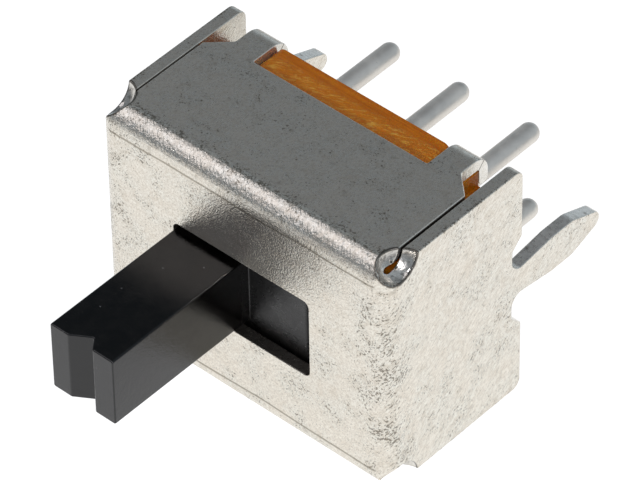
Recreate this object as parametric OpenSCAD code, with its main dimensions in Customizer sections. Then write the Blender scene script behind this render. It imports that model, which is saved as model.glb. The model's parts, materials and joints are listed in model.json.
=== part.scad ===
// Two-pole, two-position slide switch with round board pins.
// Origin: centre of the pin grid, on the plane where the end plates stand on a
// circuit board. +Y is the way the pins point, +X the way the lever travels,
// +Z up with the switch lying on its lower flap. Millimetres.

/* [Shell] */
// Length over the two end plates
shell_l = 10.2; // [9.8:0.1:12]
// Height over the two flaps
shell_h = 8; // [7.6:0.1:9.5]
// Depth from the front face to the rear edges of the end plates
shell_d = 5.5; // [5.2:0.1:6.5]
// Thickness of the folded sheet
sheet_t = 0.4; // [0.3:0.05:0.45]
// Inner radius of the folds
fold_r = 0.2; // [0.1:0.05:0.3]
// How far the long edges of the end plates lie inside the flap faces
end_drop = 0.02; // [0.02:0.02:0.3]
// Slit between a flap and an end plate
flap_gap = 0.07; // [0.03:0.01:0.15]
// Rounding of the rear corners of the end plates
plate_r = 0.3; // [0.1:0.05:0.5]

/* [Corner relief] */
// Radius of the dished relief at the front end of each slit
relief_r = 0.68; // [0.64:0.02:0.8]
// How far the dish's centre lies outside the two walls that it cuts
relief_out = 0.03; // [0:0.01:0.06]

/* [Clinch tabs] */
// Width of each tab
tab_w = 0.92; // [0.7:0.02:1.1]
// Distance from the middle of the switch to the middle of a tab
tab_x = 3.53; // [3.4:0.01:3.6]
// Reach of the turned end, measured from the flap face
tab_turn = 1; // [0.8:0.05:1.4]
// Outer radius of a tab's fold, where the sheet thins
tab_r = 0.6; // [0.4:0.05:0.7]
// Height of the flap's shoulder beside a tab, past the notch's edge
shoulder_h = 0.3; // [0.1:0.05:0.4]
// How far the slanted shoulder falls towards the end plate
shoulder_fall = 0.6; // [0.4:0.05:0.9]

/* [Mounting legs] */
// Reach of a leg behind the end plate
leg_l = 3.25; // [2.8:0.05:4]
// Widest part of a leg
leg_w = 1.26; // [1.1:0.02:1.6]
// Width of the neck beside the end plate
leg_neck = 0.92; // [0.7:0.02:1]
// Distance from the end plate at which a leg reaches its full width
leg_flare = 1.25; // [1:0.05:1.6]
// Distance from the end plate at which a leg starts to narrow
leg_bulge = 2; // [1.8:0.05:2.2]
// Radius of a leg's tip
leg_tip_r = 0.3; // [0.2:0.05:0.4]
// Radius of the hollows beside the neck
leg_root_r = 0.38; // [0.25:0.01:0.45]

/* [Terminal board] */
// Thickness of the laminated board
board_t = 1; // [0.8:0.1:1.2]
// Depth of the board's rear face inside the end plates' rear edges
board_inset = 0.5; // [0.45:0.05:0.7]
// Height of the board's ends, beside the end plates
board_end_h = 6.1; // [5.6:0.1:6.8]
// How far the board's tongues stay below the flap faces
tongue_drop = 0.1; // [0.05:0.05:0.3]
// Rounding of the tongues' corners
tongue_r = 0.25; // [0.1:0.05:0.4]
// Gap around the board
board_gap = 0.03; // [0.02:0.01:0.08]

/* [Terminals] */
// Pin pitch along a row, which is also the lever's travel
pitch = 2.5; // [2.4:0.02:2.54]
// Distance between the two rows
row_gap = 2.8; // [2.6:0.1:3.2]
// Pin diameter
pin_d = 0.6; // [0.5:0.05:0.7]
// Reach of the pins behind the end plates
pin_reach = 3.65; // [3:0.05:4.5]
// Diameter of the contact heads
head_d = 1.2; // [1.05:0.05:1.3]
// Height of the contact heads
head_h = 0.35; // [0.25:0.05:0.45]
// Radius of the heads' domed faces
dome_r = 1.6; // [1.2:0.1:2.5]
// How much wider a pin's radius is where it passes through the board
shank_swell = 0.18; // [0.16:0.01:0.22]
// How far the wide part stands out behind the board
shank_out = 0.12; // [0.08:0.02:0.2]

/* [Slider] */
// Width of the lever along its travel
lever_w = 2.25; // [2:0.05:2.5]
// Height of the lever
lever_h = 2.3; // [2:0.05:2.5]
// Reach of the lever in front of the shell
lever_reach = 4.8; // [3.5:0.1:7]
// Rounding of the lever's long edges
lever_r = 0.07; // [0.04:0.01:0.15]
// Thickness of the guide plate behind the shell's front
guide_t = 0.9; // [0.7:0.05:1.1]
// Gap between the guide plate and the shell
run_gap = 0.05; // [0.03:0.01:0.1]
// Gap above and below the lever in its slot
slot_gap = 0.2; // [0.05:0.05:0.3]
// Gap left at each end of the lever's travel
stop_gap = 0.025; // [0.02:0.005:0.05]
// Rounding of the slot's corners
slot_r = 0.18; // [0.1:0.02:0.3]
// Wall of the block around the contact clips
block_wall = 0.35; // [0.3:0.05:0.45]
// Gap between the block and the contact heads
block_gap = 0.2; // [0.1:0.05:0.3]

/* [Groove in the lever's tip] */
// Flat land on the groove's shallow side
groove_land = 0.66; // [0.4:0.02:0.8]
// Width of the shallow wall
groove_slope = 0.59; // [0.4:0.02:0.7]
// Width of the steep wall
groove_steep = 0.28; // [0.2:0.02:0.4]
// Depth of the groove
groove_d = 0.37; // [0.2:0.02:0.6]

/* [Contact clips] */
// Thickness of a clip's strip
clip_t = 0.15; // [0.1:0.01:0.2]
// Width of a clip
clip_w = 1.2; // [1.15:0.05:1.3]
// How far a clip reaches past the middle of each head
clip_past = 0.55; // [0.4:0.05:0.6]
// Rise of a clip's turned-up ends
clip_rise = 0.35; // [0.2:0.05:0.4]
// Gap between a clip and the heads that it bridges
clip_gap = 0.02; // [0.01:0.01:0.04]
// Gap between a clip and its pocket
pocket_gap = 0.05; // [0.03:0.01:0.1]
// Depth of the pockets
pocket_d = 0.6; // [0.5:0.05:0.7]

/* [Springs] */
// Outer diameter of a spring
spring_d = 1; // [0.8:0.05:1.05]
// Wire diameter
wire_d = 0.14; // [0.1:0.01:0.16]
// Number of turns, the two closed ends included
spring_turns = 6; // [5:1:8]
// Gap between a spring and its bore
bore_gap = 0.07; // [0.04:0.01:0.1]
// Depth of a spring's bore below its pocket
bore_d = 1.6; // [1.2:0.1:1.7]

/* [Hidden] */
$fn = 64;
eps = 0.1;                                    // overrun of cutters past the faces they cut
// Shell
front_y = -shell_d;
fold_out = fold_r + sheet_t;                  // outer radius of a fold
half_l = shell_l / 2;
half_h = shell_h / 2;
in_l = half_l - sheet_t;                      // middle to the inside of an end plate
in_h = half_h - sheet_t;                      // middle to the inside of a flap
in_y = front_y + sheet_t;
plate_h = half_h - end_drop;
flap_l = in_l - flap_gap;
relief_y = front_y + fold_out;                // behind it the slits part the walls
tab_in = tab_x - tab_w / 2;
tab_out = tab_x + tab_w / 2;
leg_tip_y = leg_l - leg_tip_r;
leg_root_z = leg_neck / 2 + leg_root_r;
// Board
board_rear = -board_inset;
tab_fold_y = board_rear + sheet_t - tab_r;     // where a tab starts to turn
board_front = board_rear - board_t;
tongue_l = tab_in - board_gap;
tongue_h = half_h - tongue_drop;
// Terminals
row_z = row_gap / 2;
columns = [-pitch, 0, pitch];
pin_r = pin_d / 2;
shank_r = pin_r + shank_swell;
head_y = board_front - head_h;
// Slider
travel = pitch;
rest_x = -travel / 2;                         // middle of the lever at the left stop
lever_y = front_y - lever_reach;
slot_l = lever_w + travel + 2 * stop_gap;
slot_h = lever_h + 2 * slot_gap;
guide_y = in_y + run_gap;
guide_l = in_l - run_gap - travel / 2;
guide_h = in_h - run_gap;
guide_cut = fold_r + run_gap;                 // chamfer that clears the shell's folds
block_y = guide_y + guide_t;
block_end = head_y - block_gap;
// Contact clips and springs
clip_l = pitch / 2 + clip_past;
clip_y = head_y - clip_gap;
pocket_l = clip_l + pocket_gap;
pocket_h = clip_w / 2 + pocket_gap;
pocket_y = block_end - pocket_d;
block_l = pocket_l + block_wall;
block_h = row_z + pocket_h + block_wall;
bore_r = spring_d / 2 + bore_gap;
bore_y = pocket_y - bore_d;
spring_seat = 0.01;                           // keeps the end coils off their seats

// ---- helpers ----

// A flat shape drawn in (Y, Z) and extruded from x0 to x1
module across(x0, x1) {
    translate([x0, 0, 0]) rotate([90, 0, 90]) linear_extrude(x1 - x0) children();
}

// A flat shape drawn in (X, Z) and extruded from y0 to y1
module deep(y0, y1) {
    translate([0, y1, 0]) rotate([90, 0, 0]) linear_extrude(y1 - y0) children();
}

// A flat shape drawn in (X, Y) and extruded from z0 to z1
module tall(z0, z1) {
    translate([0, 0, z0]) linear_extrude(z1 - z0) children();
}

// A box between two corners
module block(low, high) {
    translate(low) cube(high - low);
}

// A rectangle between two corners
module panel(low, high) {
    translate(low) square(high - low);
}

// A rectangle about the origin with round corners
module round_panel(l, h, r) {
    square([l - 2 * r, h], center = true);
    square([l, h - 2 * r], center = true);
    for (x = [-1, 1], z = [-1, 1])
        translate([x * (l / 2 - r), z * (h / 2 - r)]) circle(r);
}

// Copies on both sides of the middle in X and in Z
module four_corners() {
    for (x = [0, 1], z = [0, 1]) mirror([x, 0, 0]) mirror([0, 0, z]) children();
}

// ---- shell ----

// A wall's run from the front, with its first corners rounded: half-width w, radius r
module folded_run(w, r, y0, y1) {
    panel([y0 + r, -w], [y1, w]);
    panel([y0, -w + r], [y1, w - r]);
    for (s = [-1, 1]) translate([y0 + r, s * (w - r)]) circle(r);
}

// A box whose front edges are all rounded, open-ended at the rear
module folded_box(l, h, r, y0, y1) {
    intersection() {
        tall(-h, h) mirror([1, -1]) folded_run(l, r, y0, y1);
        across(-l, l) folded_run(h, r, y0, y1);
    }
}

// Outline of a leg, in (Y, Z): a spade with a round tip
module leg_outline() {
    lean = asin((leg_w / 2 - leg_tip_r) / (leg_tip_y - leg_bulge));
    for (s = [-1, 1])
        polygon([[-leg_root_r, 0], [-leg_root_r, s * leg_neck / 2], [0, s * leg_neck / 2],
                 [leg_flare, s * leg_w / 2], [leg_bulge, s * leg_w / 2],
                 [leg_bulge + leg_w / 2 * sin(lean), s * leg_w / 2 * cos(lean)],
                 [leg_tip_y + leg_tip_r * sin(lean), s * leg_tip_r * cos(lean)],
                 [leg_tip_y, 0]]);
    translate([leg_bulge, 0]) circle(leg_w / 2);
    translate([leg_tip_y, 0]) circle(leg_tip_r);
}

// Outline of an end plate with its leg, in (Y, Z)
module plate_outline() {
    difference() {
        union() {
            panel([front_y - eps, -plate_h], [-plate_r, plate_h]);
            panel([front_y - eps, -plate_h + plate_r], [0, plate_h - plate_r]);
            for (s = [-1, 1])
                translate([-plate_r, s * (plate_h - plate_r)]) circle(plate_r);
        }
        for (s = [-1, 1]) {
            translate([0, s * leg_root_z]) circle(leg_root_r);
            polygon([[-leg_root_r, s * leg_root_z],
                     [-leg_root_r, s * (leg_root_z + leg_root_r)],
                     [eps, s * (leg_root_z + 2 * leg_root_r + eps)],
                     [eps, s * leg_root_z]]);
        }
    }
    leg_outline();
}

// Outline of half a flap with its tab, in (X, Y), up to the tab's fold
module flap_outline() {
    shoulder_y = board_front + shoulder_h;
    polygon([[-eps, front_y - eps], [flap_l, front_y - eps],
             [flap_l, shoulder_y - shoulder_fall], [tab_out, shoulder_y],
             [tab_out, tab_fold_y], [tab_in, tab_fold_y],
             [tab_in, board_front], [-eps, board_front]]);
}

// The end of a tab, turned over the board's rear face
module turned_tab() {
    across(tab_in, tab_out) {
        difference() {
            intersection() {
                translate([tab_fold_y, half_h - tab_r]) circle(tab_r);
                panel([tab_fold_y, half_h - tab_r], [board_rear + sheet_t, half_h]);
            }
            panel([tab_fold_y - eps, half_h - tab_r - eps], [board_rear, in_h]);
        }
        panel([board_rear, half_h - tab_turn + sheet_t / 2],
              [board_rear + sheet_t, half_h - tab_r]);
        translate([board_rear + sheet_t / 2, half_h - tab_turn + sheet_t / 2])
            circle(sheet_t / 2);
    }
}

module shell() {
    back = leg_l + eps;
    color([0.80, 0.79, 0.75]) {
        difference() {
            folded_box(half_l, half_h, fold_out, front_y, leg_l);
            folded_box(in_l, in_h, fold_r, in_y, back);
            // what the end plates and flaps leave of the box
            for (s = [0, 1]) mirror([s, 0, 0]) across(in_l, half_l + eps) difference() {
                panel([relief_y, -half_h - eps], [back, half_h + eps]);
                plate_outline();
            }
            four_corners() {
                tall(in_h - eps, half_h + eps) difference() {
                    panel([0, relief_y], [in_l, back]);
                    flap_outline();
                }
                translate([half_l + relief_out, relief_y, half_h + relief_out]) sphere(relief_r);
            }
            deep(front_y - eps, in_y + eps) round_panel(slot_l, slot_h, slot_r);
        }
        four_corners() turned_tab();
    }
}

// ---- terminal board and terminals ----

module terminal_board() {
    color([0.62, 0.37, 0.12]) difference() {
        deep(board_front, board_rear) {
            square([2 * (in_l - board_gap), board_end_h], center = true);
            square([2 * tab_out, 2 * (in_h - board_gap)], center = true);
            round_panel(2 * tongue_l, 2 * tongue_h, tongue_r);
        }
        for (x = columns, z = [-row_z, row_z])
            deep(board_front - eps, board_rear + eps) translate([x, z]) circle(shank_r);
    }
}

// A headed pin, wide where it passes through the board. column and row are -1, 0 or 1
module terminal(column, row) {
    color([0.74, 0.74, 0.72]) translate([column * pitch, 0, row * row_z]) {
        intersection() {
            deep(head_y - eps, board_front) circle(head_d / 2);
            translate([0, head_y + dome_r, 0]) sphere(dome_r);
        }
        deep(board_front - head_h / 2, board_rear + shank_out) circle(shank_r);
        deep(board_rear, pin_reach - pin_r) circle(pin_r);
        translate([0, pin_reach - pin_r, 0]) sphere(pin_r);
    }
}

// ---- slider and its contacts ----

// Section of the lever's length, in (X, Y), with the groove across its tip
module lever_outline() {
    left = rest_x - lever_w / 2;
    right = rest_x + lever_w / 2;
    polygon([[left, lever_y], [left + groove_land, lever_y],
             [left + groove_land + groove_slope, lever_y + groove_d],
             [left + groove_land + groove_slope + groove_steep, lever_y],
             [right, lever_y], [right, block_y], [left, block_y]]);
}

// The plate that runs behind the shell's front, chamfered along its four front edges
module guide_plate() {
    intersection() {
        across(-guide_l, guide_l) guide_section(guide_h);
        tall(-guide_h, guide_h) mirror([1, -1]) guide_section(guide_l);
    }
}

module guide_section(half) {
    polygon([[guide_y, guide_cut - half], [guide_y, half - guide_cut],
             [guide_y + guide_cut, half], [block_y, half],
             [block_y, -half], [guide_y + guide_cut, -half]]);
}

module slider() {
    color([0.07, 0.07, 0.07]) difference() {
        union() {
            intersection() {
                tall(-lever_h / 2, lever_h / 2) lever_outline();
                deep(lever_y, block_y) translate([rest_x, 0])
                    round_panel(lever_w, lever_h, lever_r);
            }
            translate([rest_x, 0, 0]) guide_plate();
            block([rest_x - block_l, block_y - eps, -block_h],
                  [rest_x + block_l, block_end, block_h]);
        }
        for (z = [-row_z, row_z]) {
            block([rest_x - pocket_l, pocket_y, z - pocket_h],
                  [rest_x + pocket_l, block_end + eps, z + pocket_h]);
            deep(bore_y, pocket_y + eps) translate([rest_x, z]) circle(bore_r);
        }
    }
}

// A strip that bridges two neighbouring heads, with its ends turned up. row is -1 or 1
module contact_clip(row) {
    flat = clip_l - clip_rise;
    color([0.78, 0.62, 0.34])
        tall(row * row_z - clip_w / 2, row * row_z + clip_w / 2) translate([rest_x, clip_y])
            polygon([[-clip_l, -clip_rise], [-flat, 0], [flat, 0], [clip_l, -clip_rise],
                     [clip_l, -clip_rise - clip_t], [flat, -clip_t],
                     [-flat, -clip_t], [-clip_l, -clip_rise - clip_t]]);
}

// A coil spring between its bore and its clip, with one closed turn at each end
module spring(row) {
    sides = 6;
    steps = 16;                               // rings in one turn
    coil_r = (spring_d - wire_d) / 2;
    close = wire_d * 1.1;                     // rise of a closed turn
    y0 = bore_y + spring_seat + wire_d / 2;
    y1 = clip_y - clip_t - spring_seat - wire_d / 2;
    rise = (y1 - y0 - 2 * close) / (spring_turns - 2);
    last = spring_turns * steps;
    function height(n) = n < 1 ? n * close
        : n > spring_turns - 1 ? y1 - y0 - (spring_turns - n) * close
        : close + (n - 1) * rise;
    function ring(i) = [for (k = [0 : sides - 1])
        let (turn = 360 * i / steps, side = 360 * k / sides, r = coil_r + wire_d / 2 * cos(side))
        [r * cos(turn), y0 + height(i / steps) + wire_d / 2 * sin(side), r * sin(turn)]];
    color([0.72, 0.72, 0.70]) translate([rest_x, 0, row * row_z]) polyhedron(
        points = [for (i = [0 : last]) each ring(i)],
        faces = [
            [for (k = [0 : sides - 1]) k],
            for (i = [0 : last - 1], k = [0 : sides - 1]) let (m = (k + 1) % sides)
                [i * sides + k, (i + 1) * sides + k, (i + 1) * sides + m, i * sides + m],
            [for (k = [0 : sides - 1]) last * sides + sides - 1 - k]
        ]);
}

shell();
terminal_board();
terminal(-1, 1);  // terminal_upper_left
terminal(0, 1);  // terminal_upper_middle
terminal(1, 1);  // terminal_upper_right
terminal(-1, -1);  // terminal_lower_left
terminal(0, -1);  // terminal_lower_middle
terminal(1, -1);  // terminal_lower_right
slider();
contact_clip(1);  // contact_clip_upper
contact_clip(-1);  // contact_clip_lower
spring(1);  // spring_upper
spring(-1);  // spring_lower
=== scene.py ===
import json
import math

import bmesh
import bpy
from mathutils import Matrix, Vector


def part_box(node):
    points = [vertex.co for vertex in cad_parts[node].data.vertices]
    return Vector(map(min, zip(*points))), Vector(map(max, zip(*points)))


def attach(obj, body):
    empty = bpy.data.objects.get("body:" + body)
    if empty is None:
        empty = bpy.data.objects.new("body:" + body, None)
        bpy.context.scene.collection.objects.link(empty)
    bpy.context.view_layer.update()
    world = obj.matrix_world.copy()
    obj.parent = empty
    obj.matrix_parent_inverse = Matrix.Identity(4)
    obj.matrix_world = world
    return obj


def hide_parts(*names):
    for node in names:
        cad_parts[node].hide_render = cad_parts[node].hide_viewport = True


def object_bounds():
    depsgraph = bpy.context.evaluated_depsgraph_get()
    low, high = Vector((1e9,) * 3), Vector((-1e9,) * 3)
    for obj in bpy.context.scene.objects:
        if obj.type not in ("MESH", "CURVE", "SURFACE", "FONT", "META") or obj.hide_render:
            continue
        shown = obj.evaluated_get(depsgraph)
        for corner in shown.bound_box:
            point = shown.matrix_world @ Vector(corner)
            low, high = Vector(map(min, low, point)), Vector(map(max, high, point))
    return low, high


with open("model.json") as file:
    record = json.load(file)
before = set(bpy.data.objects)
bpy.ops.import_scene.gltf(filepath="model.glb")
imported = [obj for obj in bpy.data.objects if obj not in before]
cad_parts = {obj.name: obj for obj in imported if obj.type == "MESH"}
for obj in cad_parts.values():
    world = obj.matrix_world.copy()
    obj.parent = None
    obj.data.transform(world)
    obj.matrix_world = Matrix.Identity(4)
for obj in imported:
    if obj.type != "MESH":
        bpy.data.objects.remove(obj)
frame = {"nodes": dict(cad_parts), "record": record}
cad_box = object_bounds()

MM = 0.001


# ---- the part, in mm ----

HALF_L, HALF_H = (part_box("shell")[1][axis] / MM for axis in (0, 2))
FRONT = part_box("shell")[0][1] / MM          # Y of the shell's front face
BOARD_FRONT, BOARD_REAR = (corner[1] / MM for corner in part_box("terminal_board"))
SHEET = 0.4                                 # thickness of the shell's sheet
TAB_FOLD = -0.7                             # Y from which the tabs turn
RELIEF_R = 0.68                             # a corner relief's radius
RELIEF_OUT, RELIEF_BACK = 0.03, 0.6         # its middle's place past the walls and the front
CREASE_DROP = 0.53                          # from a flap's face to the crease on the front
SLIT_REACH = 0.55                           # a slit lies within this of an end plate's face
SLOT_REACH = 2.3                            # sheared faces this near z = 0 are the slot's
SHELL_EDGE = 0.035                          # width over which sharp edges are broken
BOARD_EDGE = 0.02
LEVER_EDGE = 0.04


# ---- camera, floor and light ----

AIM = Vector((0.19, -2.56, 0.21)) * MM      # point in the middle of the view
VIEW_AZIMUTH = math.radians(42.346)         # from -Y towards +X
VIEW_ELEVATION = math.radians(43.294)
VIEW_ROLL = math.radians(-0.975)
VIEW_DISTANCE = 150.79 * MM
SENSOR = 36.0
LENS = 316.5

FLOOR_SIZE = 1.2
FLOOR_COLOUR = (0.30, 0.30, 0.30, 1)
FLOOR_GLOW = 0.90                           # what the floor adds where it is seen or mirrored
POOL_INNER, POOL_OUTER = 0.015, 0.05        # the mirrored glow fades between these distances
FAR_GLOW = 0.12                             # to this share
WALL_LEVEL = 0.29                           # radiance of the room at floor level
CEILING_LEVEL = 0.14                        # above, towards -X
BRIGHT_LEVEL = 0.42                         # and above, towards +X
BRIGHT_X = (-0.4, 0.5)                      # directions in X between which it changes
BACK_LEVEL = 0.8                            # of the wall behind the part
BACK_Y = (0.3, 0.7)                         # directions in Y between which it starts
ROOM_TOP = 0.6                              # height, of 1 straight up, where the walls end
ROOM_COLOUR = (0.76, 0.88, 1.0, 1)
KEY_FROM = (-0.49, -0.26, 0.83)
KEY_DISTANCE = 0.30
KEY_SIZE = 0.25
KEY_LEVEL = 1.3                             # radiance
FILL_FROM = (0.75, -0.45, 0.60)
FILL_DISTANCE = 0.35
FILL_SIZE = 0.26
FILL_LEVEL = 1.4
FLASH_FROM = (0.490, -0.538, 0.686)         # beside the viewer's eye, to reach into the gaps
FLASH_DISTANCE = 0.15
FLASH_SIZE = 0.004
FLASH_LEVEL = 1300
LAMP_COLOUR = (0.98, 0.94, 1.0)


def direction(azimuth, elevation):
    """Unit vector towards a point at this azimuth, from -Y towards +X, and elevation."""
    level = math.cos(elevation)
    return Vector((math.sin(azimuth) * level, -math.cos(azimuth) * level, math.sin(elevation)))


def add_object(name, data):
    made = bpy.data.objects.new(name, data)
    bpy.context.collection.objects.link(made)
    return made


def make_camera():
    camera = bpy.data.cameras.new("camera")
    camera.sensor_width = SENSOR
    camera.lens = LENS
    camera.clip_start = 0.01
    back = direction(VIEW_AZIMUTH, VIEW_ELEVATION)
    right = Vector((math.cos(VIEW_AZIMUTH), math.sin(VIEW_AZIMUTH), 0))
    up = back.cross(right)
    turn = Matrix((right, up, back)).transposed() @ Matrix.Rotation(VIEW_ROLL, 3, "Z")
    view = add_object("camera", camera)
    view.matrix_world = Matrix.Translation(AIM + back * VIEW_DISTANCE) @ turn.to_4x4()
    bpy.context.scene.camera = view


def add_softbox(name, towards, distance, size, level):
    """A square lamp of this radiance that faces the part."""
    lamp = bpy.data.lights.new(name, "AREA")
    lamp.shape = "SQUARE"
    lamp.size = size
    lamp.energy = level * math.pi * size ** 2
    lamp.color = LAMP_COLOUR
    made = add_object(name, lamp)
    towards = Vector(towards).normalized()
    made.location = AIM + towards * distance
    made.rotation_euler = towards.to_track_quat("Z", "Y").to_euler()


def link_new(tree, kind, inputs=(), **properties):
    """A new node. inputs maps a socket's name or number to a value or to another socket."""
    made = tree.nodes.new(kind)
    for name, value in properties.items():
        setattr(made, name, value)
    for key, value in dict(inputs).items():
        if isinstance(value, bpy.types.NodeSocket):
            tree.links.new(value, made.inputs[key])
        else:
            made.inputs[key].default_value = value
    return made


def smooth_step(tree, value, low, high, a=0.0, b=1.0):
    """value from low to high becomes a to b, smoothly, and stays there outside."""
    return link_new(tree, "ShaderNodeMapRange",
                    {"Value": value, "From Min": low, "From Max": high, "To Min": a, "To Max": b},
                    interpolation_type="SMOOTHSTEP").outputs[0]


def floor_glow(tree):
    """Full for camera rays, a pool round the part for mirrored ones, 0 for light on the part."""
    place = link_new(tree, "ShaderNodeTexCoord").outputs["Object"]
    away = link_new(tree, "ShaderNodeVectorMath", {0: place}, operation="LENGTH").outputs["Value"]
    pool = smooth_step(tree, away, POOL_INNER, POOL_OUTER, 1.0, FAR_GLOW)
    path = link_new(tree, "ShaderNodeLightPath")
    mirrored = link_new(tree, "ShaderNodeMath", {0: path.outputs["Is Glossy Ray"],
                                                 1: path.outputs["Is Transmission Ray"]},
                        operation="MAXIMUM")
    mirrored = link_new(tree, "ShaderNodeMath", {0: mirrored.outputs[0], 1: pool},
                        operation="MULTIPLY")
    most = link_new(tree, "ShaderNodeMath", {0: path.outputs["Is Camera Ray"],
                                             1: mirrored.outputs[0]}, operation="MAXIMUM")
    return link_new(tree, "ShaderNodeMath", {0: most.outputs[0], 1: FLOOR_GLOW},
                    operation="MULTIPLY").outputs[0]


def make_world():
    """A room with light walls, dim above on one side, and white where the camera sees it."""
    world = bpy.data.worlds.new("room")
    world.use_nodes = True
    tree = world.node_tree
    tree.nodes.clear()
    towards = link_new(tree, "ShaderNodeTexCoord").outputs["Generated"]
    axes = link_new(tree, "ShaderNodeSeparateXYZ", {0: towards})
    ceiling = smooth_step(tree, axes.outputs["X"], *BRIGHT_X, CEILING_LEVEL, BRIGHT_LEVEL)
    wall = smooth_step(tree, axes.outputs["Y"], *BACK_Y, WALL_LEVEL, BACK_LEVEL)
    room = smooth_step(tree, axes.outputs["Z"], 0.0, ROOM_TOP, wall, ceiling)
    path = link_new(tree, "ShaderNodeLightPath")
    level = link_new(tree, "ShaderNodeMix", {"Factor": path.outputs["Is Camera Ray"],
                                             2: room, 3: 1.0}, data_type="FLOAT")
    colour = link_new(tree, "ShaderNodeMix", {"Factor": path.outputs["Is Camera Ray"],
                                              6: ROOM_COLOUR, 7: (1, 1, 1, 1)}, data_type="RGBA")
    sky = link_new(tree, "ShaderNodeBackground",
                   {"Color": colour.outputs[2], "Strength": level.outputs[0]})
    link_new(tree, "ShaderNodeOutputWorld", {"Surface": sky.outputs[0]})
    bpy.context.scene.world = world


def make_floor():
    mesh = bpy.data.meshes.new("floor")
    half = FLOOR_SIZE / 2
    level = cad_box[0][2]
    corners = [(-half, -half, level), (half, -half, level), (half, half, level),
               (-half, half, level)]
    mesh.from_pydata(corners, [], [(0, 1, 2, 3)])
    material = bpy.data.materials.new("floor")
    material.use_nodes = True
    tree = material.node_tree
    tree.nodes.clear()
    matt = link_new(tree, "ShaderNodeBsdfDiffuse", {"Color": FLOOR_COLOUR})
    light = link_new(tree, "ShaderNodeEmission", {"Strength": floor_glow(tree)})
    both = link_new(tree, "ShaderNodeAddShader", {0: matt.outputs[0], 1: light.outputs[0]})
    link_new(tree, "ShaderNodeOutputMaterial", {"Surface": both.outputs[0]})
    mesh.materials.append(material)
    add_object("floor", mesh)


# ---- materials ----

def linear(red, green, blue):
    """A colour given in 0-255 display values, as a shader wants it."""
    def one(value):
        value /= 255
        return value / 12.92 if value <= 0.04045 else ((value + 0.055) / 1.055) ** 2.4
    return (one(red), one(green), one(blue), 1)


class Paint:
    """Builds a material's nodes. Places and sizes are in the part's frame and in mm, and
    out_x and out_z are distances from its middle."""

    def __init__(self, name):
        self.material = bpy.data.materials.new(name)
        self.material.use_nodes = True
        self.tree = self.material.node_tree
        self.shader = self.tree.nodes["Principled BSDF"]
        place = link_new(self.tree, "ShaderNodeTexCoord").outputs["Object"]
        self.place = self.vector("SCALE", place, scale=1 / MM)
        axes = link_new(self.tree, "ShaderNodeSeparateXYZ", {0: self.place})
        self.x, self.y, self.z = axes.outputs
        self.out_x, self.out_z = (self.size_of(axis) for axis in (self.x, self.z))

    def vector(self, operation, a, b=None, scale=None):
        inputs = {0: a}
        if b is not None:
            inputs[1] = b
        if scale is not None:
            inputs["Scale"] = scale
        return link_new(self.tree, "ShaderNodeVectorMath", inputs,
                        operation=operation).outputs[0]

    def math(self, operation, a, b=0.0, c=0.0):
        return link_new(self.tree, "ShaderNodeMath", {0: a, 1: b, 2: c},
                        operation=operation).outputs[0]

    def size_of(self, a):
        return self.math("ABSOLUTE", a)

    def times(self, a, *others):
        for b in others:
            a = self.math("MULTIPLY", a, b)
        return a

    def plus(self, a, *others):
        for b in others:
            a = self.math("ADD", a, b)
        return a

    def along(self, towards, length, width, thickness=None):
        """Coordinates in which a texture of size 1 is this long towards a direction."""
        turn = Vector(towards).rotation_difference(Vector((1, 0, 0))).to_euler()
        turned = link_new(self.tree, "ShaderNodeMapping", {"Vector": self.place, "Rotation": turn})
        return self.vector("MULTIPLY", turned.outputs[0],
                           (1 / length, 1 / width, 1 / (thickness or width)))

    def noise(self, size, detail=2.0, roughness=0.5, place=None, distortion=0.0):
        made = link_new(self.tree, "ShaderNodeTexNoise",
                        {"Vector": place or self.place, "Scale": 1 / size, "Detail": detail,
                         "Roughness": roughness, "Distortion": distortion})
        return made.outputs[0]

    def streaks(self, towards, length, width, detail=2.0, roughness=0.5):
        return self.noise(1.0, detail, roughness, self.along(towards, length, width))

    def specks(self, spacing, radius, share, wobble=0.0):
        """1 in spots of about this radius, about this far apart, of which a share shows."""
        place = self.place
        if wobble:
            stir = link_new(self.tree, "ShaderNodeTexNoise",
                            {"Vector": place, "Scale": 1 / spacing, "Detail": 3.0})
            shift = self.vector("SUBTRACT", stir.outputs["Color"], (0.5, 0.5, 0.5))
            place = self.vector("ADD", place, self.vector("SCALE", shift, scale=wobble))
        cells = link_new(self.tree, "ShaderNodeTexVoronoi", {"Vector": place, "Scale": 1 / spacing})
        chance = link_new(self.tree, "ShaderNodeSeparateColor", {0: cells.outputs["Color"]})
        spots = self.fall(cells.outputs["Distance"], 0.0, radius / spacing)
        return self.times(spots, self.math("LESS_THAN", chance.outputs[0], share))

    def step(self, value, low, high, a=0.0, b=1.0):
        return smooth_step(self.tree, value, low, high, a, b)

    def fall(self, value, low, high):
        """1 up to low and 0 from high."""
        return self.step(value, low, high, 1.0, 0.0)

    def blend(self, factor, a, b):
        """Colour a where factor is 0, colour b where it is 1."""
        return link_new(self.tree, "ShaderNodeMix", {"Factor": factor, 6: a, 7: b},
                        data_type="RGBA").outputs[2]

    def mark(self, colour, *marks):
        """The colour with marks over it: where each one is, its share and its shade."""
        for where, share, shade in marks:
            colour = self.blend(self.times(where, share), colour, linear(*shade))
        return colour

    def bump(self, height, distance, normal=None):
        """height 0-1 as a relief of this many millimetres."""
        inputs = {"Height": height, "Distance": distance * MM, "Strength": 1.0}
        if normal is not None:
            inputs["Normal"] = normal
        return link_new(self.tree, "ShaderNodeBump", inputs).outputs[0]

    def set(self, **inputs):
        """Shader inputs by name, with _ for a space."""
        for name, value in inputs.items():
            socket = self.shader.inputs[name.replace("_", " ")]
            if isinstance(value, bpy.types.NodeSocket):
                self.tree.links.new(value, socket)
            else:
                socket.default_value = value


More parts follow.
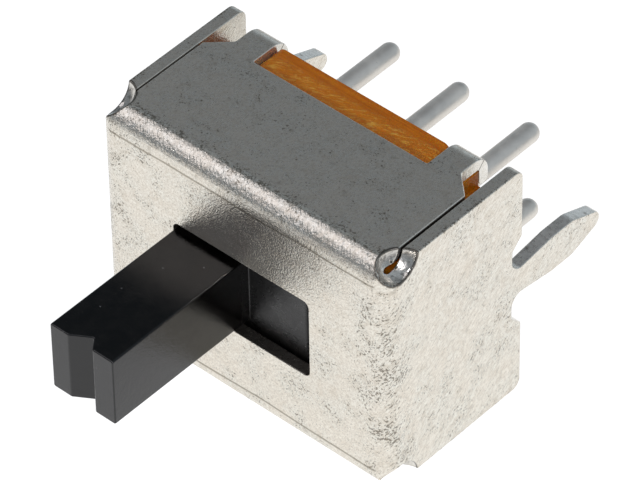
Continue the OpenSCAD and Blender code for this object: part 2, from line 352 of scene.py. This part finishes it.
def tin_pits(p, wear):
    """1 in dark strokes and dots, which gather in clusters and where the sheet is worn."""
    clusters = p.step(p.noise(0.8, 3.0, 0.6), 0.42, 0.68)
    scored = p.plus(p.times(clusters, 0.10), p.times(wear, 0.08))
    strokes = p.noise(1.0, 2.0, 0.6, p.along((0.3, 0.6, 0.7), 0.16, 0.045), distortion=0.6)
    dots = p.noise(0.075, 1.0)
    return p.math("MAXIMUM", p.step(p.plus(strokes, scored), 0.69, 0.75),
                  p.step(p.plus(dots, p.times(scored, 1.3)), 0.75, 0.81))


def tin(p, crinkled, wear, lap):
    """A tinned surface on p. crinkled is where the sheet was stretched, wear where it is
    pitted, and lap where its skin is smooth."""
    tint = p.noise(0.8, 1.0)
    marble = p.noise(0.40, 4.0, 0.6, distortion=0.6)
    grain = p.noise(0.09, 3.0, 0.65)
    brushed = p.streaks((0.2, 0.74, 0.64), 0.30, 0.05, 3.0, 0.6)
    hairs = p.noise(1.0, 1.0, 0.5, p.along((0.7, -0.4, 0.6), 0.4, 0.045), distortion=0.8)
    stains = p.specks(0.55, 0.13, 0.35, 0.4)
    pits = tin_pits(p, wear)

    colour = p.blend(p.step(tint, 0.3, 0.7), linear(232, 227, 215), linear(229, 227, 217))
    colour = p.mark(colour, (p.step(marble, 0.45, 0.70), 0.30, (206, 192, 172)),
                    (p.step(grain, 0.38, 0.62), 0.30, (200, 189, 172)),
                    (p.step(brushed, 0.44, 0.66), 0.43, (188, 177, 160)),
                    (p.step(hairs, 0.66, 0.76), 0.45, (134, 124, 108)),
                    (stains, 0.30, (120, 108, 90)), (pits, 0.75, (98, 88, 72)))

    rough = p.plus(p.step(grain, 0.38, 0.62, 0.15, 0.20), p.times(pits, 0.05),
                   p.times(lap, 0.12))
    relief = p.plus(p.noise(0.06, 3.0, 0.65), p.times(brushed, 0.8), p.times(pits, -0.3))
    normal = p.bump(p.times(relief, p.step(lap, 0.0, 1.0, 1.0, 0.08)), 0.011)
    crinkle = p.plus(p.noise(0.12, 3.0, 0.6), p.streaks((0.55, -0.7, -0.45), 0.35, 0.06))
    normal = p.bump(p.times(crinkle, crinkled), 0.020, normal)
    p.set(Metallic=0.9, Roughness=rough, Normal=normal)
    return colour


def off_relief(p):
    """Distance from the middle of the nearest corner's dished relief."""
    parts = ((p.out_x, HALF_L + RELIEF_OUT), (p.y, FRONT + RELIEF_BACK),
             (p.out_z, HALF_H + RELIEF_OUT))
    squares = [p.math("POWER", p.plus(at, -middle), 2.0) for at, middle in parts]
    wobble = p.times(p.plus(p.noise(0.15), -0.5), 0.08)
    return p.plus(p.math("SQRT", p.plus(*squares)), wobble)


def worn_places(p, near_top):
    """More than 0 where the sheet is pitted by its folding: the ends' bends, the upper edge
    of the front bend, and the long edges of the end plates."""
    near_end = p.step(p.out_x, HALF_L - 1.4, HALF_L - 0.3)
    end_bend = p.times(near_end, p.fall(p.y, FRONT + 0.3, FRONT + 1.5))
    tufts = p.times(p.step(p.y, FRONT + 0.45, FRONT + 0.55),
                    p.fall(p.y, FRONT + 0.65, FRONT + 0.95), near_top)
    rim = p.times(p.step(p.out_x, HALF_L - 0.12, HALF_L - 0.03),
                  p.step(p.out_z, HALF_H - 0.10, HALF_H - 0.02))
    return p.plus(p.times(end_bend, 0.75), p.times(tufts, 1.2), p.times(rim, 1.5))


def bend_crease_shade(p):
    """1 on a fine crease of the front face, where the folded sheet starts to bend: a line painted
    darker as the crease's shade.
    """
    waves = p.plus(p.times(p.noise(2.4, 1.0), 0.22), p.times(p.noise(0.2), 0.02))
    off_crease = p.size_of(p.plus(p.out_z, waves, CREASE_DROP - HALF_H))
    return p.times(p.fall(off_crease, 0.015, 0.050), p.fall(p.y, FRONT + 0.02, FRONT + 0.05))


def relief_burr_and_shade(p):
    """1 on the dark ring round the upper corners' reliefs: partly a burr, partly painted shade
    where the sheet turns into the hole.
    """
    off_rim = p.size_of(p.plus(off_relief(p), -RELIEF_R))
    return p.times(p.fall(off_rim, 0.03, 0.08), p.step(p.z, 0.0, 0.1))


def tinned_steel():
    p = Paint("tinned_steel")
    near_top = p.step(p.out_z, HALF_H - 0.45, HALF_H - 0.2)
    near_front = p.fall(p.y, FRONT + 0.5, FRONT + 0.68)
    on_flap = p.step(p.out_z, HALF_H - 0.3, HALF_H - 0.1)
    colour = tin(p, p.times(near_top, near_front), worn_places(p, near_top), on_flap)
    # the bend's crease is painted shade, a darker line on the front face
    p.set(Base_Color=p.mark(colour, (bend_crease_shade(p), 0.7, (124, 116, 98)),
                            # dark ring round the reliefs: a burr with painted shade at the hole's
                            # rim
                            (relief_burr_and_shade(p), 0.85, (70, 64, 56))))
    return p.material


def fold_crease_shade(p):
    """1 on a line at 45 degrees from the inner corners of the tabs' tight folds, painted dark as
    the crease's shade.
    """
    across = p.plus(p.y, p.times(p.out_z, -1.0), HALF_H - SHEET - BOARD_REAR)
    return p.fall(p.size_of(across), 0.012, 0.035)


def outside(p):
    """How far a point lies outside the shell's nearest outer face, less than 0 within."""
    sides = p.math("MAXIMUM", p.plus(p.out_x, -HALF_L), p.plus(p.out_z, -HALF_H))
    return p.math("MAXIMUM", sides, p.plus(p.times(p.y, -1.0), FRONT))


def slit_wall_shade(p, off):
    """1 on a flap's side, deep in the slit beside the end plate, which is painted dark as shade."""
    return p.times(p.step(p.out_x, HALF_L - SLIT_REACH - 0.05, HALF_L - SLIT_REACH),
                   p.fall(p.out_z, HALF_H - 0.06, HALF_H - 0.03),
                   p.step(p.out_z, HALF_H - 0.5, HALF_H - 0.4),
                   p.step(off, RELIEF_R + 0.06, RELIEF_R + 0.10))


def slot_wall_shade(p):
    """1 on the walls of the lever's slot, which are painted darker as shade."""
    return p.times(p.fall(p.out_z, SLOT_REACH - 0.1, SLOT_REACH + 0.1),
                   p.fall(p.y, FRONT + SHEET + 0.02, FRONT + SHEET + 0.05))


def cut_steel():
    """Where the sheet was sheared: a little torn, and painted dark as shade in its creases, slits,
    slot and reliefs.
    """
    p = Paint("cut_steel")
    torn = p.noise(0.12, 3.0, 0.6)
    scars = p.specks(0.20, 0.10, 0.22, 0.25)
    off = off_relief(p)
    dish = p.fall(off, RELIEF_R + 0.02, RELIEF_R + 0.05)
    dish_shade_blots = p.step(p.noise(0.14, 3.0, 0.6), 0.52, 0.66)
    dish_rim_burr_and_shade = p.times(dish, p.step(outside(p), -0.07, -0.03))

    colour = p.blend(p.step(torn, 0.35, 0.65), linear(226, 222, 212), linear(240, 237, 229))
    colour = p.mark(colour, (scars, 0.65, (104, 94, 76)),
                    # painted shade in the tabs' fold creases
                    (fold_crease_shade(p), 0.85, (60, 54, 46)),
                    # painted shade inside the reliefs' dishes, heavier in blotches
                    (dish, p.plus(p.times(dish_shade_blots, 0.5), 0.25), (120, 116, 110)),
                    # dark ring at the dishes' rims: a burr with painted shade
                    (dish_rim_burr_and_shade, 0.8, (70, 64, 56)),
                    # painted shade deep in the slits
                    (slit_wall_shade(p, off), 0.9, (44, 40, 34)),
                    # painted shade on the slot's walls
                    (slot_wall_shade(p), 0.9, (84, 79, 71)))
    normal = p.bump(p.plus(torn, p.times(scars, -0.4)), 0.011)
    rough = p.plus(p.step(torn, 0.3, 0.7, 0.26, 0.32), p.times(dish, -0.08))
    p.set(Base_Color=colour, Metallic=0.9, Roughness=rough, Normal=normal)
    return p.material


def phenolic():
    """Laminated board, fibrous and darker towards the front, with a light front face."""
    p = Paint("phenolic")
    lamina = p.noise(1.0, 3.0, 0.6, p.along((1, 0, 0), 1.6, 0.10, 0.8))
    fibres = p.noise(1.0, 3.0, 0.7, p.along((0.9, 0.4, 0.2), 0.32, 0.07, 0.2), distortion=0.6)
    grain = p.noise(0.07, 3.0, 0.7)
    depth = p.plus(p.y, p.times(p.noise(0.5), 0.25))
    front_band = p.fall(depth, BOARD_FRONT + 0.60, BOARD_FRONT + 0.85)
    front_edge = p.fall(depth, BOARD_FRONT + 0.28, BOARD_FRONT + 0.45)
    on_front = p.fall(p.y, BOARD_FRONT + 0.02, BOARD_FRONT + 0.05)

    colour = p.blend(p.step(lamina, 0.35, 0.65), linear(166, 88, 3), linear(184, 105, 6))
    colour = p.mark(colour, (front_band, 0.5, (190, 115, 13)),
                    (p.step(fibres, 0.50, 0.66), p.plus(p.times(front_band, 0.75), 0.05),
                     (206, 158, 66)),
                    (p.step(grain, 0.5, 0.78), 0.35, (122, 60, 8)),
                    (front_edge, 0.45, (134, 70, 5)))
    colour = p.blend(on_front, colour, linear(236, 134, 24))
    rough = p.step(front_band, 0.0, 1.0, 0.40, 0.60)
    normal = p.bump(grain, 0.012)
    normal = p.bump(p.times(fibres, front_band), 0.04, normal)
    p.set(Base_Color=colour, Roughness=rough, Normal=normal, Specular_IOR_Level=0.25,
          Subsurface_Weight=0.3, Subsurface_Radius=(1.0, 0.35, 0.08), Subsurface_Scale=0.6 * MM)
    return p.material


def tinned_brass():
    p = Paint("tinned_brass")
    patches = p.noise(0.7, 3.0, 0.6)
    colour = p.blend(p.step(patches, 0.3, 0.7), linear(222, 217, 208), linear(232, 228, 219))
    spots = p.step(p.noise(0.10, 2.0, 0.6), 0.68, 0.78)
    colour = p.blend(p.times(spots, 0.35), colour, linear(150, 144, 132))
    drawn = p.streaks((0, 1, 0), 1.2, 0.06)
    rough = p.step(patches, 0.3, 0.7, 0.46, 0.54)
    normal = p.bump(drawn, 0.002)
    p.set(Base_Color=colour, Metallic=1.0, Roughness=rough, Normal=normal)
    return p.material


def black_plastic():
    """Glossy on the lever, and duller behind the shell's front."""
    p = Paint("black_plastic")
    cloud = p.noise(0.35, 4.0, 0.65)
    dust = p.specks(0.4, 0.035, 0.5)
    scuffs = p.step(p.noise(1.0, 2.0, 0.6, p.along((0.2, 0.3, 0.9), 0.30, 0.035)), 0.62, 0.72)
    scuffs = p.times(scuffs, p.step(p.noise(0.9, 2.0), 0.45, 0.6))
    colour = p.blend(p.step(cloud, 0.35, 0.65), linear(1, 1, 1), linear(7, 6, 5))
    colour = p.mark(colour, (dust, 0.5, (130, 130, 130)), (scuffs, 0.3, (74, 72, 68)))
    behind = p.step(p.y, FRONT, FRONT + 0.2, 0.0, 0.18)
    rough = p.plus(p.step(cloud, 0.35, 0.65, 0.08, 0.18), behind)
    skin = p.plus(p.times(p.noise(0.05, 3.0, 0.65), 0.8), p.noise(0.30, 4.0, 0.7))
    normal = p.bump(p.times(skin, p.plus(p.times(behind, 6.0), 1.0)), 0.006)
    p.set(Base_Color=colour, Roughness=rough, Normal=normal, IOR=1.50)
    return p.material


def bronze():
    p = Paint("bronze")
    rolled = p.streaks((1, 0, 0), 0.7, 0.05)
    colour = p.blend(p.step(rolled, 0.35, 0.65), linear(196, 160, 98), linear(222, 188, 124))
    rough = p.step(rolled, 0.3, 0.7, 0.25, 0.38)
    p.set(Base_Color=colour, Metallic=1.0, Roughness=rough, Normal=p.bump(rolled, 0.006))
    return p.material


def spring_wire():
    p = Paint("spring_wire")
    drawn = p.noise(0.04)
    colour = p.blend(p.step(drawn, 0.35, 0.65), linear(196, 194, 188), linear(220, 218, 212))
    rough = p.step(drawn, 0.3, 0.7, 0.22, 0.32)
    p.set(Base_Color=colour, Metallic=1.0, Roughness=rough, Normal=p.bump(drawn, 0.003))
    return p.material


# ---- pieces ----

WELD = 1e-7                                 # points this near each other are one
FLAT_ANGLE = math.radians(0.4)              # faces that differ by less than this are one
EDGE_ANGLE = math.radians(28)               # and edges sharper than this are broken
FACES = 0.7                                 # a normal's part above which a face looks that way


def cut_face(face):
    """True where the shell's sheet was sheared, from the face's place and normal."""
    centre, normal = face.calc_center_median() / MM, face.normal
    slack = WELD / MM
    on_end = abs(centre.x) > HALF_L - SHEET - slack
    on_flap = abs(centre.z) > HALF_H - SHEET - slack
    on_front = centre.y < FRONT + SHEET + slack
    turned = centre.y > TAB_FOLD and not on_end
    skins = ((on_end, normal.x), (on_flap, normal.z), (on_front or turned, normal.y))
    return not any(there and abs(part) > FACES for there, part in skins)


def cleaned_mesh(node, name, material, cut):
    """A CAD node's mesh with one face for each flat. cut is the material of sheared faces."""
    mesh = frame["nodes"][node].data.copy()
    mesh.name = name
    mesh.materials.clear()
    if "custom_normal" in mesh.attributes:
        mesh.attributes.remove(mesh.attributes["custom_normal"])
    shape = bmesh.new()
    shape.from_mesh(mesh)
    bmesh.ops.remove_doubles(shape, verts=shape.verts, dist=WELD)
    bmesh.ops.dissolve_limit(shape, angle_limit=FLAT_ANGLE, use_dissolve_boundaries=False,
                             verts=shape.verts, edges=shape.edges)
    for face in shape.faces:
        face.smooth = True
        if cut and cut_face(face):
            face.material_index = 1
    shape.to_mesh(mesh)
    shape.free()
    mesh.materials.append(material)
    if cut:
        mesh.materials.append(cut)
    return mesh


def softened(node, name, material, width, cut=None):
    """A piece in a CAD node's shape, with its sharp edges broken over this width in mm."""
    piece = add_object(name, cleaned_mesh(node, name, material, cut))
    edge = piece.modifiers.new("edges", "BEVEL")
    edge.width = width * MM
    edge.segments = 2
    edge.limit_method = "ANGLE"
    edge.angle_limit = EDGE_ANGLE
    edge.use_clamp_overlap = False
    edge.harden_normals = True
    edge.miter_outer = "MITER_ARC"
    body = next(b for b, nodes in frame["record"]["behaviour"]["bodies"].items() if node in nodes)
    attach(piece, body)
    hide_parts(node)


def dress_nodes(materials):
    """Gives each CAD node that still shows its slot's material."""
    for part in frame["record"]["subparts"]:
        mesh = frame["nodes"][part["node"]].data
        mesh.materials.clear()
        mesh.materials.append(materials[part["material_slot"]])


make_camera()
make_world()
make_floor()
add_softbox("key", KEY_FROM, KEY_DISTANCE, KEY_SIZE, KEY_LEVEL)
add_softbox("fill", FILL_FROM, FILL_DISTANCE, FILL_SIZE, FILL_LEVEL)
add_softbox("flash", FLASH_FROM, FLASH_DISTANCE, FLASH_SIZE, FLASH_LEVEL)
bpy.context.scene.view_settings.view_transform = "Standard"

finishes = {"tinned_steel": tinned_steel(), "phenolic": phenolic(),
            "tinned_brass": tinned_brass(), "black_plastic": black_plastic(),
            "bronze": bronze(), "spring_wire": spring_wire()}
dress_nodes(finishes)
softened("shell", "folded_shell", finishes["tinned_steel"], SHELL_EDGE,
         cut=cut_steel())
softened("terminal_board", "laminate", finishes["phenolic"], BOARD_EDGE)
softened("slider", "lever", finishes["black_plastic"], LEVER_EDGE)
